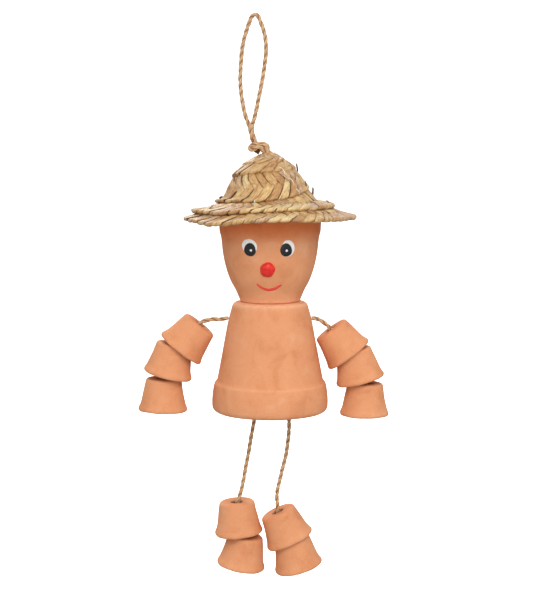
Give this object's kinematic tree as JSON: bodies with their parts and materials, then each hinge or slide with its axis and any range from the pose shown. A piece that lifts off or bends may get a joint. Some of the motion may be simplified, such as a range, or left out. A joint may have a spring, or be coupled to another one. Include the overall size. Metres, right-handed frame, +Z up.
{
  "type": "hanging flower pot figure",
  "caption": "Hanging figure of terracotta plant pots threaded on twisted cord, with jointed pot arms and legs, a painted face, a braided straw hat and a cord loop to hang it by.",
  "frame": {"origin": "inside the top of the hanging loop, at the point where a hook carries it", "axes": "+Z up, -Y the way the figure faces, +X to the right as seen from the front, which is the figure's own left"},
  "size_m": [0.1762, 0.1186, 0.3938],
  "materials": {
    "terracotta": "unglazed, matte",
    "straw": "dry braided straw, slightly glossy strips",
    "cord": "twisted natural fibre",
    "nose_paint": "thick red paint, satin"
  },
  "bodies": {
    "hook_loop": {"hanging_loop": "cord", "hanging_knot": "cord"},
    "main_string": {"main_cord": "cord", "main_stopper_knot": "cord"},
    "hat": {"straw_hat": "straw"},
    "head": {"head_pot": "terracotta", "nose": "nose_paint"},
    "torso": {"torso_pot": "terracotta"},
    "right_shoulder": {"right_shoulder_knot": "cord"},
    "right_arm_string": {"right_arm_cord": "cord"},
    "right_arm_upper": {"right_arm_pot_upper": "terracotta", "right_arm_knot_upper": "cord"},
    "right_arm_middle": {"right_arm_cord_below_upper": "cord", "right_arm_pot_middle": "terracotta", "right_arm_knot_middle": "cord"},
    "right_arm_lower": {"right_arm_cord_below_middle": "cord", "right_arm_pot_lower": "terracotta", "right_arm_knot_lower": "cord"},
    "right_hip": {"right_hip_knot": "cord"},
    "right_leg_string": {"right_leg_cord": "cord"},
    "right_foot_upper": {"right_foot_pot_upper": "terracotta", "right_foot_knot_upper": "cord"},
    "right_foot_lower": {"right_foot_cord_below_upper": "cord", "right_foot_pot_lower": "terracotta", "right_foot_knot_lower": "cord"},
    "left_shoulder": {"left_shoulder_knot": "cord"},
    "left_arm_string": {"left_arm_cord": "cord"},
    "left_arm_upper": {"left_arm_pot_upper": "terracotta", "left_arm_knot_upper": "cord"},
    "left_arm_middle": {"left_arm_cord_below_upper": "cord", "left_arm_pot_middle": "terracotta", "left_arm_knot_middle": "cord"},
    "left_arm_lower": {"left_arm_cord_below_middle": "cord", "left_arm_pot_lower": "terracotta", "left_arm_knot_lower": "cord"},
    "left_hip": {"left_hip_knot": "cord"},
    "left_leg_string": {"left_leg_cord": "cord"},
    "left_foot_upper": {"left_foot_pot_upper": "terracotta", "left_foot_knot_upper": "cord"},
    "left_foot_lower": {"left_foot_cord_below_upper": "cord", "left_foot_pot_lower": "terracotta", "left_foot_knot_lower": "cord"}
  },
  "joints": [
    {"name": "figure_swing", "type": "hinge", "parent": "hook_loop", "child": "main_string", "pos_m": [0.009, 0, -0.092], "axis": [0, 1, 0], "range_deg": [-12, 12]},
    {"name": "hat_turn", "type": "hinge", "parent": "main_string", "child": "hat", "pos_m": [0.01, 0, -0.092], "axis": [0, 0, 1], "continuous": true},
    {"name": "head_turn", "type": "hinge", "parent": "main_string", "child": "head", "pos_m": [0.01, 0, -0.195], "axis": [0, 0, 1], "continuous": true},
    {"name": "torso_turn", "type": "hinge", "parent": "main_string", "child": "torso", "pos_m": [0.01, 0, -0.1955], "axis": [0, 0, 1], "continuous": true},
    {"name": "right_arm_swing", "type": "hinge", "parent": "torso", "child": "right_shoulder", "pos_m": [-0.01855, 0, -0.2073], "axis": [-1, 0, 0], "range_deg": [-60, 60]},
    {"name": "right_arm_lift", "type": "hinge", "parent": "right_shoulder", "child": "right_arm_string", "pos_m": [-0.01895, 0, -0.2073], "axis": [0, 1, 0], "range_deg": [0, 60]},
    {"name": "right_arm_pot_upper_tilt", "type": "hinge", "parent": "right_arm_string", "child": "right_arm_upper", "pos_m": [-0.04, 0, -0.2131], "axis": [0, 1, 0], "range_deg": [0, 20]},
    {"name": "right_arm_pot_middle_tilt", "type": "hinge", "parent": "right_arm_upper", "child": "right_arm_middle", "pos_m": [-0.04601, 0, -0.22048], "axis": [0, 1, 0], "range_deg": [-2, 7]},
    {"name": "right_arm_pot_lower_tilt", "type": "hinge", "parent": "right_arm_middle", "child": "right_arm_lower", "pos_m": [-0.05973, 0, -0.23676], "axis": [0, 1, 0], "range_deg": [-6, 15]},
    {"name": "right_leg_swing", "type": "hinge", "parent": "main_string", "child": "right_hip", "pos_m": [0.0056, 0, -0.2154], "axis": [-1, 0, 0], "range_deg": [-12, 12]},
    {"name": "right_leg_spread", "type": "hinge", "parent": "right_hip", "child": "right_leg_string", "pos_m": [0.0056, 0, -0.2196], "axis": [0, 1, 0], "range_deg": [0, 12]},
    {"name": "right_foot_pot_upper_tilt", "type": "hinge", "parent": "right_leg_string", "child": "right_foot_upper", "pos_m": [-0.0136, 0, -0.3405], "axis": [0, 1, 0], "range_deg": [-1, 15]},
    {"name": "right_foot_pot_lower_tilt", "type": "hinge", "parent": "right_foot_upper", "child": "right_foot_lower", "pos_m": [-0.01301, 0, -0.35008], "axis": [0, 1, 0], "range_deg": [-1, 15]},
    {"name": "left_arm_swing", "type": "hinge", "parent": "torso", "child": "left_shoulder", "pos_m": [0.03855, 0, -0.2073], "axis": [-1, 0, 0], "range_deg": [-60, 60]},
    {"name": "left_arm_lift", "type": "hinge", "parent": "left_shoulder", "child": "left_arm_string", "pos_m": [0.03895, 0, -0.2073], "axis": [0, -1, 0], "range_deg": [0, 60]},
    {"name": "left_arm_pot_upper_tilt", "type": "hinge", "parent": "left_arm_string", "child": "left_arm_upper", "pos_m": [0.0533, 0, -0.2165], "axis": [0, -1, 0], "range_deg": [0, 20]},
    {"name": "left_arm_pot_middle_tilt", "type": "hinge", "parent": "left_arm_upper", "child": "left_arm_middle", "pos_m": [0.05894, 0, -0.22414], "axis": [0, -1, 0], "range_deg": [-2, 5]},
    {"name": "left_arm_pot_lower_tilt", "type": "hinge", "parent": "left_arm_middle", "child": "left_arm_lower", "pos_m": [0.07103, 0, -0.24056], "axis": [0, -1, 0], "range_deg": [-6, 15]},
    {"name": "left_leg_swing", "type": "hinge", "parent": "main_string", "child": "left_hip", "pos_m": [0.0144, 0, -0.2154], "axis": [-1, 0, 0], "range_deg": [-12, 12]},
    {"name": "left_leg_spread", "type": "hinge", "parent": "left_hip", "child": "left_leg_string", "pos_m": [0.0144, 0, -0.2196], "axis": [0, -1, 0], "range_deg": [0, 12]},
    {"name": "left_foot_pot_upper_tilt", "type": "hinge", "parent": "left_leg_string", "child": "left_foot_upper", "pos_m": [0.0159, 0, -0.3476], "axis": [0, -1, 0], "range_deg": [0, 15]},
    {"name": "left_foot_pot_lower_tilt", "type": "hinge", "parent": "left_foot_upper", "child": "left_foot_lower", "pos_m": [0.0198, 0, -0.35632], "axis": [0, -1, 0], "range_deg": [0, 6]}
  ]
}
